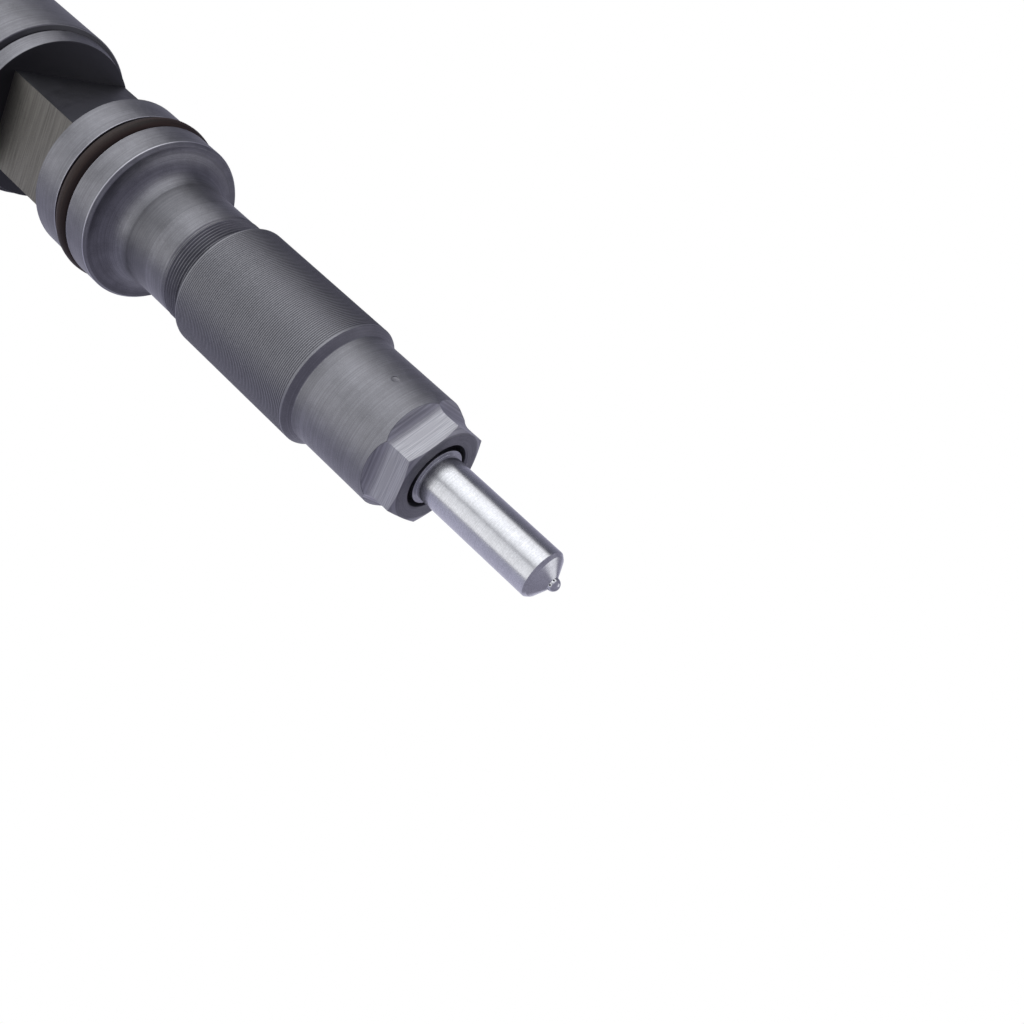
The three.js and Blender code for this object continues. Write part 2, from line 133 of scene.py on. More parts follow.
def turned(name, profile, steps=SMALL_STEPS, ease=0.12, at=(0, 0)):
    """A profile of (radius, height) points turned about an axis parallel to Z."""
    rows = rounded(profile, ease) if ease else profile
    closed = rows[0] == rows[-1]
    if closed:
        rows = rows[:-1]
    shape = bmesh.new()
    rings = []
    for r, z in rows:
        if r < 1e-6:
            rings.append([shape.verts.new(place(at[0], at[1], z))])
            continue
        ring = []
        for i in range(steps):
            a = 2 * math.pi * i / steps
            ring.append(shape.verts.new(place(at[0] + r * math.cos(a), at[1] + r * math.sin(a), z)))
        rings.append(ring)
    pairs = list(zip(rings, rings[1:])) + ([(rings[-1], rings[0])] if closed else [])
    for low, high in pairs:
        for i in range(steps):
            j = (i + 1) % steps
            if len(low) == 1:
                shape.faces.new((low[0], high[j], high[i]))
            elif len(high) == 1:
                shape.faces.new((low[i], low[j], high[0]))
            else:
                shape.faces.new((low[i], low[j], high[j], high[i]))
    bmesh.ops.recalc_face_normals(shape, faces=shape.faces)
    mesh = bpy.data.meshes.new(name)
    shape.to_mesh(mesh)
    shape.free()
    piece = new_object(name, mesh)
    smooth(piece)
    return piece


def ring(name, profile, **settings):
    return turned(name, profile + [profile[0]], **settings)


def sleeve(name, inner, outer, low, high, **settings):
    return ring(name, [(inner, low), (outer, low), (outer, high), (inner, high)], **settings)


def swept(outline, width, angle, at=(0, 0)):
    """A cutter: an outline of (radius, height) points, as wide as width, facing the given angle."""
    shape = bmesh.new()
    turn = Matrix.Rotation(math.radians(angle), 3, "Z")
    sides = []
    for y in (-width / 2, width / 2):
        sides.append([shape.verts.new(place(*at, 0) + turn @ (Vector((r, y, z)) * MM)) for r, z in outline])
    count = len(outline)
    for i in range(count):
        j = (i + 1) % count
        shape.faces.new((sides[0][i], sides[0][j], sides[1][j], sides[1][i]))
    shape.faces.new(sides[0])
    shape.faces.new(sides[1])
    bmesh.ops.recalc_face_normals(shape, faces=shape.faces)
    mesh = bpy.data.meshes.new("cutter")
    shape.to_mesh(mesh)
    shape.free()
    return new_object("cutter", mesh)


def flats(half, low, high, first=0, at=(0, 0)):
    """Six cutters that leave a hexagon."""
    outline = [(half, low), (half + 8, low), (half + 8, high), (half, high)]
    return [swept(outline, 4 * half, first + 60 * k, at) for k in range(6)]


def drill(radius, start, end, steps=32):
    """A cutter: a round bar between two points."""
    start, end = place(*start), place(*end)
    shape = bmesh.new()
    length = (end - start).length
    wide = radius * MM
    bmesh.ops.create_cone(shape, cap_ends=True, segments=steps, radius1=wide, radius2=wide, depth=length)
    turn = Vector((0, 0, 1)).rotation_difference(end - start).to_matrix().to_4x4()
    bmesh.ops.transform(shape, matrix=Matrix.Translation((start + end) / 2) @ turn, verts=shape.verts)
    mesh = bpy.data.meshes.new("cutter")
    shape.to_mesh(mesh)
    shape.free()
    return new_object("cutter", mesh)


def apply_modifiers(piece):
    graph = bpy.context.evaluated_depsgraph_get()
    mesh = bpy.data.meshes.new_from_object(piece.evaluated_get(graph))
    piece.modifiers.clear()
    piece.data = mesh
    return piece


def combine(piece, others, operation="DIFFERENCE"):
    for other in others:
        step = piece.modifiers.new("cut", "BOOLEAN")
        step.operation = operation
        step.solver = "EXACT"
        step.object = other
    bpy.context.view_layer.update()
    apply_modifiers(piece)
    for other in others:
        bpy.data.objects.remove(other)
    return piece


def eased(piece, width=0.05, angle=28):
    """Small rounded edges on a cut piece."""
    bevel = piece.modifiers.new("ease", "BEVEL")
    bevel.width = width * MM
    bevel.segments = 2
    bevel.limit_method = "ANGLE"
    bevel.angle_limit = math.radians(angle)
    bevel.harden_normals = False
    weigh = piece.modifiers.new("weigh", "WEIGHTED_NORMAL")
    weigh.keep_sharp = False
    smooth(piece, 180)
    bpy.context.view_layer.update()
    return apply_modifiers(piece)


def coil(name, radius, wire, low, high, turns, closed_turns=1.0):
    """A round-wire compression spring with closed ends."""
    steps = int(turns * 40)
    shape = bmesh.new()
    free = turns - 2 * closed_turns
    pitch = (high - low - 2 * wire - 4 * wire * closed_turns) / free
    rings = []
    for i in range(steps + 1):
        t = turns * i / steps
        bottom, top = min(t, closed_turns), max(0.0, t - turns + closed_turns)
        z = low + wire + 2 * wire * (bottom + top) + pitch * (t - bottom - top)
        a = 2 * math.pi * t
        out = Vector((math.cos(a), math.sin(a), 0))
        section = []
        for b in (2 * math.pi * k / 12 for k in range(12)):
            point = out * (radius + wire * math.cos(b)) + Vector((0, 0, z + wire * math.sin(b)))
            section.append(shape.verts.new(place(*point)))
        rings.append(section)
    for one, two in zip(rings, rings[1:]):
        for k in range(12):
            n = (k + 1) % 12
            shape.faces.new((one[k], one[n], two[n], two[k]))
    shape.faces.new(rings[0])
    shape.faces.new(rings[-1])
    bmesh.ops.recalc_face_normals(shape, faces=shape.faces)
    mesh = bpy.data.meshes.new(name)
    shape.to_mesh(mesh)
    shape.free()
    piece = new_object(name, mesh)
    smooth(piece, 60)
    return piece


def polar(radius, degrees):
    return radius * math.cos(math.radians(degrees)), radius * math.sin(math.radians(degrees))


SEAT = 21.6  # nozzle nut's front face
SHANK_R = 3.5
NUT_R = 8.5
NUT_BIG_R = 9.58
NUT_STEP = 40.1
NUT_TOP = 64.04
NUT_HEX_TURN = 24.3
RING_PITCH = 0.31
RING_DEPTH = 0.06
RINGS_LOW, RINGS_HIGH = NUT_STEP + 1.2, NUT_TOP - 0.35
NECK_R = 8.51
COLLAR_FRONT = 80.46
COLLAR_TOP = 92.7
SIDE_FLAT = 7.1
FRONT_FLAT = 8.6
SHOULDER = 109.1
HEAD_EDGE = 111.9
PORT_ANGLE = 135
TERMINAL_X = 6.2


# ---- materials --------------------------------------------------------------------------------

class Finish:
    """A procedural material, with its coordinates in millimetres from the tip."""

    def __init__(self, name, **constants):
        self.material = bpy.data.materials.new(name)
        self.material.use_nodes = True
        self.tree = self.material.node_tree
        self.tree.nodes.clear()
        output = self.node("ShaderNodeOutputMaterial")
        self.shader = self.node("ShaderNodeBsdfPrincipled")
        self.tree.links.new(self.shader.outputs[0], output.inputs["Surface"])
        for socket, value in constants.items():
            self.shader.inputs[socket.replace("_", " ")].default_value = value
        here = self.node("ShaderNodeTexCoord").outputs["Object"]
        here = self.vector("SUBTRACT", here, tuple(TIP))
        self.here = self.vector("MULTIPLY", here, (1 / MM, 1 / MM, 1 / MM))
        parts = self.node("ShaderNodeSeparateXYZ", {0: self.here})
        self.x, self.y, self.z = parts.outputs
        square = self.math("ADD", self.math("POWER", self.x, 2), self.math("POWER", self.y, 2))
        self.r = self.math("SQRT", square)

    def node(self, kind, inputs=None, **settings):
        made = self.tree.nodes.new(kind)
        for key, value in settings.items():
            setattr(made, key, value)
        for key, value in (inputs or {}).items():
            self.feed(made.inputs[key], value)
        return made

    def feed(self, socket, value):
        if isinstance(value, bpy.types.NodeSocket):
            self.tree.links.new(value, socket)
        else:
            socket.default_value = value

    def math(self, operation, a, b=0.0, clamp=False):
        return self.node("ShaderNodeMath", {0: a, 1: b}, operation=operation, use_clamp=clamp).outputs[0]

    def vector(self, operation, a, b):
        return self.node("ShaderNodeVectorMath", {0: a, 1: b}, operation=operation).outputs[0]

    def noise(self, where, scale, detail=3.0, roughness=0.55):
        inputs = {"Vector": where, "Scale": scale, "Detail": detail, "Roughness": roughness}
        return self.node("ShaderNodeTexNoise", inputs).outputs[0]

    def span(self, value, low, high, to_low=0.0, to_high=1.0):
        inputs = {"Value": value, 1: low, 2: high, 3: to_low, 4: to_high}
        return self.node("ShaderNodeMapRange", inputs).outputs[0]

    def step(self, value, edge, width=0.02):
        """0 below the edge and 1 above it."""
        return self.span(value, edge - width, edge + width)

    def between(self, value, low, high, width=0.02):
        below = self.math("SUBTRACT", 1.0, self.step(value, high, width))
        return self.math("MULTIPLY", self.step(value, low, width), below)

    def mix(self, factor, a, b):
        made = self.node("ShaderNodeMix", data_type="RGBA")
        self.feed(made.inputs[0], factor)
        self.feed(made.inputs[6], a)
        self.feed(made.inputs[7], b)
        return made.outputs[2]

    def blend(self, factor, a, b):
        made = self.node("ShaderNodeMix", data_type="FLOAT")
        self.feed(made.inputs[0], factor)
        self.feed(made.inputs[2], a)
        self.feed(made.inputs[3], b)
        return made.outputs[0]

    def lines(self, across, along=0.06):
        """Fine marks square to the axis: rings on round faces and on flat ones."""
        spread = self.math("MULTIPLY", self.math("ADD", self.z, self.r), across)
        x, y = self.math("MULTIPLY", self.x, along), self.math("MULTIPLY", self.y, along)
        where = self.node("ShaderNodeCombineXYZ", {0: x, 1: y, 2: spread}).outputs[0]
        return self.noise(where, 1.0, 2.0)

    def bump(self, height, depth, normal=None):
        """Relief whose full height is depth millimetres."""
        inputs = {"Height": height, "Distance": depth * MM, "Strength": 1.0}
        if normal is not None:
            inputs["Normal"] = normal
        return self.node("ShaderNodeBump", inputs).outputs[0]

    def put(self, **links):
        for socket, value in links.items():
            self.feed(self.shader.inputs[socket.replace("_", " ")], value)
        return self.material


def shade(color, factor):
    return tuple(min(1.0, c * factor) for c in color[:3]) + (1.0,)


def worked_steel(name, color, rough, rings=9.0, ring_depth=0.004, grain=0.004, mottle=0.16, grain_scale=4.0):
    """Turned or ground steel: fine ring marks, a little grain and slow changes of tone."""
    finish = Finish(name, Metallic=1.0)
    marks = finish.lines(rings)
    speckle = finish.noise(finish.here, grain_scale, 3.0, 0.6)
    patches = finish.noise(finish.here, 0.45, 4.0, 0.6)
    tone = finish.span(patches, 0.3, 0.7)
    base = finish.mix(tone, shade(color, 1 - mottle), shade(color, 1 + mottle))
    base = finish.mix(finish.span(speckle, 0.38, 0.66, 0.0, 0.5), base, shade(color, 1.4))
    base = finish.mix(finish.span(marks, 0.4, 0.62, 0.0, 0.4), base, shade(color, 0.72))
    lined = finish.span(marks, 0.3, 0.7, rough - 0.04, rough + 0.05)
    roughness = finish.math("ADD", lined, finish.span(patches, 0.3, 0.7, -0.03, 0.04))
    normal = finish.bump(speckle, grain)
    normal = finish.bump(marks, ring_depth, normal)
    return finish, base, roughness, normal


def plain_steel(name, color, rough, **settings):
    finish, base, roughness, normal = worked_steel(name, color, rough, **settings)
    return finish.put(Base_Color=base, Roughness=roughness, Normal=normal)


def plastic(name, color, rough, grain=0.012, scale=7.0):
    finish = Finish(name, Metallic=0.0)
    speckle = finish.noise(finish.here, scale, 4.0, 0.6)
    patches = finish.noise(finish.here, 0.5, 3.0)
    base = finish.mix(finish.span(patches, 0.3, 0.7), shade(color, 0.85), shade(color, 1.2))
    roughness = finish.span(speckle, 0.3, 0.7, rough - 0.06, rough + 0.08)
    return finish.put(Base_Color=base, Roughness=roughness, Normal=finish.bump(speckle, grain))


STEEL = (0.2, 0.2, 0.217)


def nut_finish():
    """Satin turned steel: bright brushed flats on the hexagon, feed rings on the larger part."""
    look = {"rings": 9.0, "mottle": 0.18, "grain": 0.04, "grain_scale": 9.0}
    finish, base, roughness, normal = worked_steel("nut_steel", STEEL, 0.42, **look)
    on_flat = finish.math("MULTIPLY", finish.between(finish.z, SEAT + 0.1, 26.7),
                          finish.math("SUBTRACT", 1.0, finish.step(finish.r, NUT_R - 0.07)))
    height = finish.math("MULTIPLY", finish.z, 7.0)
    across = finish.math("MULTIPLY", finish.r, 0.3)
    where = finish.node("ShaderNodeCombineXYZ", {0: across, 2: height}).outputs[0]
    scratch = finish.noise(where, 1.0, 3.0, 0.7)
    bright = finish.mix(finish.span(scratch, 0.3, 0.7), shade(STEEL, 1.1), shade(STEEL, 2.3))
    base = finish.mix(on_flat, base, bright)
    along = finish.math("SUBTRACT", finish.z, RINGS_LOW)
    feed = finish.math("SINE", finish.math("MULTIPLY", along, 2 * math.pi / RING_PITCH))
    ringed = finish.mix(finish.span(feed, -0.7, 0.9), shade(STEEL, 0.45), shade(STEEL, 1.5))
    on_rings = finish.between(finish.z, RINGS_LOW, RINGS_HIGH)
    base = finish.mix(finish.math("MULTIPLY", on_rings, 0.8), base, ringed)
    roughness = finish.blend(on_flat, roughness, finish.span(scratch, 0.3, 0.7, 0.52, 0.36))
    relief = finish.math("MULTIPLY", scratch, on_flat)
    return finish.put(Base_Color=base, Roughness=roughness, Normal=finish.bump(relief, 0.02, normal))


def body_finish():
    """Gunmetal steel with soft blotches and a lighter brushed flat on -Y."""
    color = shade(STEEL, 0.92)
    look = {"rings": 6.0, "mottle": 0.22, "grain": 0.026, "grain_scale": 7.0}
    finish, base, roughness, normal = worked_steel("body_steel", color, 0.42, **look)
    # Painted shade: the concave fillet under the collar's front is darkened towards half the body colour.
    dark = finish.math("MULTIPLY", finish.between(finish.z, 72.27, 77.0), 0.35)
    base = finish.mix(dark, base, shade(color, 0.5))
    # Bright lines on the collar's chamfer and groove edges: partly edge wear, partly painted edge highlight.
    wear_and_glint = finish.between(finish.z, COLLAR_FRONT + 0.44, COLLAR_FRONT + 0.58)
    for low, high in ((84.9, 85.02), (87.88, 88.0)):
        rim = finish.math("MULTIPLY", finish.between(finish.z, low, high), finish.step(finish.r, 12.4))
        wear_and_glint = finish.math("ADD", wear_and_glint, rim, clamp=True)
    base = finish.mix(wear_and_glint, base, shade(color, 2.4))
    step = finish.between(finish.z, 111.42, HEAD_EDGE - 0.05)
    shadow = finish.math("ADD", step, finish.between(finish.z, SHOULDER - 0.04, SHOULDER + 0.04))
    base = finish.mix(shadow, base, shade(color, 0.35))
    on_clamp = finish.between(finish.z, COLLAR_TOP + 0.05, SHOULDER - 0.05)
    # Painted shade: the +X flat of the clamp section is darkened to 0.6 of the body colour; the -X flat is
    # not.
    side = finish.math("MULTIPLY", on_clamp, finish.step(finish.x, SIDE_FLAT - 0.08))
    inward = finish.math("SUBTRACT", 1.0, finish.step(finish.x, SIDE_FLAT + 0.08))
    side = finish.math("MULTIPLY", side, inward)
    base = finish.mix(side, base, shade(color, 0.6))
    outward = finish.math("SUBTRACT", 1.0, finish.step(finish.y, 0.05 - FRONT_FLAT))
    flat = finish.math("MULTIPLY", on_clamp, outward)
    flat = finish.math("MULTIPLY", flat, finish.step(finish.y, -0.08 - FRONT_FLAT))
    across, along = finish.math("MULTIPLY", finish.x, 0.12), finish.math("MULTIPLY", finish.z, 3.2)
    where = finish.node("ShaderNodeCombineXYZ", {0: across, 1: along})
    brushed = finish.noise(where.outputs[0], 1.0, 4.0, 0.65)
    light = finish.mix(finish.span(brushed, 0.3, 0.7), (0.115, 0.11, 0.1, 1), (0.19, 0.182, 0.166, 1))
    base = finish.mix(flat, base, light)
    roughness = finish.blend(flat, roughness, finish.span(brushed, 0.3, 0.7, 0.5, 0.4))
    return finish.put(Base_Color=base, Roughness=roughness, Normal=normal)


def rubber_finish():
    finish = Finish("seal_rubber", Metallic=0.0, Specular_IOR_Level=0.3)
    marks = finish.lines(3.0, 0.1)
    speckle = finish.noise(finish.here, 5.0, 3.0)
    base = finish.mix(finish.span(marks, 0.3, 0.7), (0.009, 0.0042, 0.003, 1), (0.026, 0.012, 0.0085, 1))
    roughness = finish.span(speckle, 0.3, 0.7, 0.5, 0.66)
    return finish.put(Base_Color=base, Roughness=roughness, Normal=finish.bump(marks, 0.02))


FINISHES = {
    "ground_steel": plain_steel(
        "ground_steel", (0.52, 0.525, 0.55), 0.24,
        rings=14.0, ring_depth=0.003, grain=0.001, mottle=0.08,
    ),
    "nut_steel": nut_finish(),
    "body_steel": body_finish(),
    "hardened_steel": plain_steel(
        "hardened_steel", (0.46, 0.47, 0.5), 0.24,
        rings=12.0, ring_depth=0.002, grain=0.001, mottle=0.08,
    ),
    "spring_steel": plain_steel("spring_steel", (0.3, 0.3, 0.32), 0.35, rings=2.0, grain=0.004),
    "zinc_plate": plain_steel("zinc_plate", (0.5, 0.51, 0.53), 0.32, rings=6.0, grain=0.004, mottle=0.12),
    "brass": plain_steel("brass", (0.62, 0.44, 0.16), 0.28, rings=8.0, mottle=0.12),
    "copper_wire": plain_steel("copper_wire", (0.52, 0.2, 0.09), 0.34, rings=4.0, ring_depth=0.05),
    "magnet_iron": plain_steel("magnet_iron", (0.16, 0.16, 0.17), 0.55, rings=3.0, grain=0.02),
    "seal_rubber": rubber_finish(),
    "seal_plastic": plastic("seal_plastic", (0.6, 0.53, 0.38), 0.5),
    "black_plastic": plastic("black_plastic", (0.02, 0.02, 0.022), 0.42),
    "insulator": plastic("insulator", (0.2, 0.09, 0.035), 0.5),
}
SLOTS = {part["node"]: part["material_slot"] for part in frame["record"]["subparts"]}


def fit_out(node, piece):
    """The piece stands for its CAD node, on the same body and in the same finish."""
    piece.name = node + "_surface"
    piece.data.materials.clear()
    piece.data.materials.append(FINISHES[SLOTS[node]])
    body = next(name for name, members in frame["record"]["behaviour"]["bodies"].items() if node in members)
    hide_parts(node)
    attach(piece, body)


for node, carried in frame["nodes"].items():
    carried.data.materials.clear()
    carried.data.materials.append(FINISHES[SLOTS[node]])


# ---- nozzle -----------------------------------------------------------------------------------

def nozzle_body():
    piece = turned("nozzle_body", [
        *[(max(r, 0.0), z) for r, z in arc(0, 0.93, 0.93, -90, 5, 14)],
        (3.12, 2.25), (SHANK_R, 2.73), (SHANK_R, SEAT + 0.05), (4.15, SEAT + 0.05), (4.15, 26.85),
        (6.9, 26.85),
        (7.1, 27.1), (7.1, 43.0), (2.05, 43.0), (2.05, 31.0), (3.2, 30.3), (3.2, 28.6), (2.3, 27.7),
        (2.3, 5.3),
        (0.5, 2.2), (0.5, 1.0), (0, 0.5),
    ], steps=FINE_STEPS, ease=0.06)
    cutters = [drill(0.6, (0, 5.3, 43.5), (0, 2.8, 29.4))]
    cutters += [drill(0.75, (side * 5.4, 0, 40.1), (side * 5.4, 0, 44)) for side in (-1, 1)]
    for i in range(8):
        x, y = polar(1.4, 45 * i + 10)
        outlet = 1.05 - 1.19 * math.tan(math.radians(15))
        cutters.append(drill(0.13, (x * 0.15, y * 0.15, 1.05), (x, y, outlet), 16))
    return combine(piece, cutters)


def nut_rings():
    """The tool's feed marks along the larger part of the nut."""
    rows = []
    for i in range(int((RINGS_HIGH - RINGS_LOW) / RING_PITCH)):
        z = RINGS_LOW + i * RING_PITCH
        wave = ((0.0, 0.0), (0.35, 0.25), (1.0, 0.5), (0.35, 0.75))
        rows += [(NUT_BIG_R - RING_DEPTH * depth, z + RING_PITCH * part) for depth, part in wave]
    return rows


def nozzle_nut():
    piece = ring("nozzle_nut", [
        (4.9, SEAT + 0.2), (5.1, SEAT), (6.6, SEAT), (NUT_R, SEAT + 0.65), (NUT_R, NUT_STEP),
        (NUT_BIG_R, NUT_STEP + 0.97),
        *nut_rings(),
        (NUT_BIG_R, NUT_TOP - 0.2), (NUT_BIG_R - 0.2, NUT_TOP), (8.68, NUT_TOP), (8.68, 46.9),
        (7.3, 45.5), (7.3, 26.7),
        (4.9, 26.7),
    ], steps=FINE_STEPS, ease=0.09)
    flat, end, rise = 6.85, 24.4, 2.3
    reach = NUT_R - flat
    bend = (rise ** 2 + reach ** 2) / (2 * reach)
    swing = math.degrees(math.asin(rise / bend))
    curve = arc(flat + bend, end, bend, 180, 180 - swing, 14)
    outline = [(flat, SEAT - 1), *curve, (12, end + rise), (12, SEAT - 1)]
    dimple = drill(0.55, (*polar(8.41, -20), 31.85), (*polar(9.5, -20), 31.85))
    return combine(piece, [swept(outline, 18, 60 * k + NUT_HEX_TURN) for k in range(6)] + [dimple])


fit_out("nozzle_body", eased(nozzle_body(), 0.02))
fit_out("nozzle_needle", turned("nozzle_needle", [
    (0, 1.9), (0.226, 1.9), (1.75, 4.525), (1.75, 29.0), (2.0, 30.2), (2.0, 42.3), (1.8, 42.5), (1.0, 42.5),
    (1.0, 43.4), (0, 43.4),
], ease=0.06))
fit_out("nozzle_nut", eased(nozzle_nut(), 0.05))
for number, side in enumerate((-1, 1), 1):
    fit_out(f"nozzle_dowel_{number}", turned("dowel", [
        (0, 40.4), (0.48, 40.4), (0.6, 40.55), (0.6, 45.65), (0.48, 45.8), (0, 45.8),
    ], ease=0.04, at=(side * 5.4, 0)))

# ---- needle spring train ----------------------------------------------------------------------

fit_out("needle_pressure_pin", turned("pin", [
    (0, 43.5), (2.6, 43.5), (2.6, 44.6), (1.3, 44.6), (1.3, 68.0), (0, 68.0),
]))
fit_out("needle_spring", coil("spring", 2.1, 0.45, 44.75, 64.4, 9))
fit_out("needle_spring_shim", sleeve("shim", 1.5, 2.9, 64.6, 65.8))
fit_out("control_rod", turned("rod", [
    (0, 68.1), (1.6, 68.1), (1.85, 68.4), (1.85, 116.5), (2.15, 117.0), (2.15, 118.6),
    (2.05, 118.7), (2.05, 118.9),
    (2.15, 119.0), (2.15, 120.1), (2.05, 120.2), (2.05, 120.4), (2.15, 120.5), (2.15, 122.0),
    (1.2, 122.4), (0, 122.4),
], ease=0.05))


# ---- body -------------------------------------------------------------------------------------

def injector_body():
    fillet = 3.49
    piece = ring("injector_body", [
        (3.2, 43.05), (6.7, 43.05), (7.0, 43.35), (7.0, 46.2), (8.3, 47.4),
        *thread(47.5, 68.1, 0.49, 8.58, 8.32),
        (8.32, 68.3), (NECK_R, 68.6),
        *arc(NECK_R + fillet, COLLAR_FRONT - fillet, fillet, 180, 90, 20),
        (12.3, COLLAR_FRONT), (12.72, COLLAR_FRONT + 0.5), (12.72, 85.0), (10.5, 85.0),
        (10.5, 87.9), (12.62, 87.9),
        (12.62, SHOULDER), (12.82, SHOULDER), (13.3, 111.4), (13.1, 111.45), (13.1, 111.6),
        (14.06, HEAD_EDGE),
        (14.06, 137.6), (13.56, 138.1), (12.2, 138.1), (12.2, 139.2),
        *thread(139.4, 145.6, 0.75, 12.6, 12.25),
        (12.4, 145.9), (12.3, 146.0), (11.5, 146.0), (11.5, 142.9), (10.8, 142.9), (10.8, 132.6),
        (9.2, 132.6),
        (9.2, 123.7), (5.0, 123.7), (5.0, 113.0), (2.3, 113.0), (2.3, 66.0), (3.2, 66.0),
    ], steps=FINE_STEPS, ease=0.1)
    cutters = [
        swept([(half, COLLAR_TOP), (16, COLLAR_TOP), (16, SHOULDER), (half, SHOULDER)], 32, angle)
        for half, angle in ((SIDE_FLAT, 0), (SIDE_FLAT, 180), (FRONT_FLAT, -90))
    ]
    inlet = turned("cutter", [
        (0, 4.3), (0.9, 4.3), (3.1, 5.7), (3.1, 7.6), (3.7, 8.3), (3.7, 14), (0, 14),
    ], ease=0.05)
    inlet.data.transform(Matrix.Translation(-TIP))
    inlet.data.transform(Matrix.Translation(place(0, 0, 72.8)) @ Matrix.Rotation(math.radians(-90), 4, "X"))
    back = polar(6.8, PORT_ANGLE)
    out = polar(12, PORT_ANGLE)
    cutters += [inlet, drill(0.8, (0, 5.3, 42), (0, 5.3, 118)), drill(0.8, (*back, 71.6), (*back, 124.7))]
    cutters += [drill(0.8, (*back, 72.6), (*out, 72.6))]
    cutters += [drill(0.75, (side * 5.4, 0, 42), (side * 5.4, 0, 46.1)) for side in (-1, 1)]
    return combine(piece, cutters)


def o_ring(name, radius, z, wire):
    section = arc(radius, z, wire, 0, 360, 24)[:-1]
    return turned(name, section + [section[0]], steps=FINE_STEPS, ease=0)


fit_out("injector_body", eased(injector_body(), 0.05))
fit_out("body_o_ring", o_ring("ring", 11.89, 86.45, 1.25))


# ---- control valve ----------------------------------------------------------------------------

def valve_body():
    piece = ring("valve_body", [
        (2.2, 115.3), (4.3, 115.3), (4.3, 124.0), (7.6, 124.0), (7.6, 127.4), (3.2, 127.4),
        (3.2, 128.0), (1.0, 128.0),
        (0.35, 127.4), (0.35, 123.9), (2.2, 123.6),
    ], ease=0.08)
    port = polar(6.8, PORT_ANGLE)
    throttle = drill(0.25, (0, 1.5, 123.0), (0, 5, 123.0))
    return combine(piece, [throttle, drill(1.1, (*port, 123), (*port, 128))])


def valve_clamp_nut():
    piece = ring("valve_clamp_nut", [
        (4.8, 127.6), (8.65, 127.6), *thread(127.9, 131.9, 0.6, 8.9, 8.65), (8.65, 132.2), (4.8, 132.2),
    ], ease=0.08)
    slot = [(4, 130.8), (10, 130.8), (10, 133), (4, 133)]
    return combine(piece, [swept(slot, 2.4, 90 * k + 45) for k in range(4)])


def armature_guide():
    piece = ring("armature_guide", [
        (1.45, 130.6), (3.6, 130.6), (3.6, 132.8), (10.6, 132.8), (10.6, 136.4), (4.6, 136.4), (4.6, 133.6),
        (2.3, 133.6), (2.3, 135.9), (1.45, 135.9),
    ], ease=0.08)
    holes = [polar(7.2, 90 * k + 45) for k in range(4)]
    return combine(piece, [drill(1.2, (*hole, 132), (*hole, 137)) for hole in holes])


def armature_plate():
    piece = ring("armature_plate", [
        (1.45, 137.0), (8.2, 137.0), (8.2, 138.5), (2.8, 138.5), (2.8, 139.0), (1.45, 139.0),
    ], ease=0.08)
    holes = [polar(5.3, 60 * k) for k in range(6)]
    return combine(piece, [drill(0.9, (*hole, 136), (*hole, 140)) for hole in holes])


def armature_clip():
    mouth = swept([(0.2, 139), (3, 139), (3, 140), (0.2, 140)], 1.6, 0)
    return combine(sleeve("armature_clip", 1.45, 2.5, 139.15, 139.7, ease=0.05), [mouth])


fit_out("valve_body_seal_ring", sleeve("seal", 2.6, 4.7, 113.2, 115.0))
fit_out("valve_body", eased(valve_body(), 0.03))
fit_out("valve_clamp_nut", eased(valve_clamp_nut(), 0.03))
ball = [(max(r, 0.0), z) for r, z in arc(0, 128.07, 0.67, -90, 90, 32)]
fit_out("valve_ball", turned("ball", ball, ease=0))
fit_out("ball_holder", turned("holder", [
    (0, 129.0), (0.78, 128.55), (0.78, 128.3), (1.5, 128.3), (1.5, 129.85), (0, 129.85),
], ease=0.05))
fit_out("armature_guide", eased(armature_guide(), 0.03))
fit_out("armature_bolt", turned("bolt", [
    (0, 129.9), (1.4, 129.9), (1.4, 139.9), (2.2, 139.9), (2.2, 141.1), (1.2, 141.1), (1.2, 142.0),
    (0, 142.0),
], ease=0.08))
fit_out("armature_plate", eased(armature_plate(), 0.03))
fit_out("armature_clip", eased(armature_clip(), 0.02))
fit_out("overtravel_spring", coil("spring", 3.4, 0.28, 133.65, 136.95, 3))
fit_out("lift_shim", sleeve("shim", 9.5, 10.5, 136.6, 139.1))


# ---- solenoid ---------------------------------------------------------------------------------

def magnet_core():
    piece = ring("magnet_core", [
        (3.1, 138.9), (4.7, 138.9), (4.7, 146.6), (7.9, 146.6), (7.9, 138.9), (9.3, 138.9),
        (9.3, 150.4), (1.6, 150.4),
        (1.6, 149.0), (3.1, 149.0),
    ])
    sides = [side * TERMINAL_X for side in (-1, 1)]
    return combine(piece, [drill(0.95, (x, 0, 146), (x, 0, 151)) for x in sides])


def coil_bobbin():
    piece = ring("coil_bobbin", [
        (4.9, 139.4), (7.7, 139.4), (7.7, 140.1), (5.6, 140.1), (5.6, 145.7), (7.7, 145.7),
        (7.7, 146.4), (4.9, 146.4),
    ], ease=0.08)
    legs = [drill(0.65, (side * TERMINAL_X, 0, 146.0), (side * TERMINAL_X, 0, 150.8)) for side in (-1, 1)]
    return combine(piece, legs, "UNION")


def coil_winding():
    """Turns of wire side by side show on the outside."""
    wires = []
    for i in range(15):
        z = 140.2 + 0.36 * i
        wires += [(7.36, z), (7.47, z + 0.09), (7.5, z + 0.18), (7.47, z + 0.27)]
    return ring("coil_winding", [(5.7, 140.2), *wires, (7.36, 145.6), (5.7, 145.6)], ease=0)


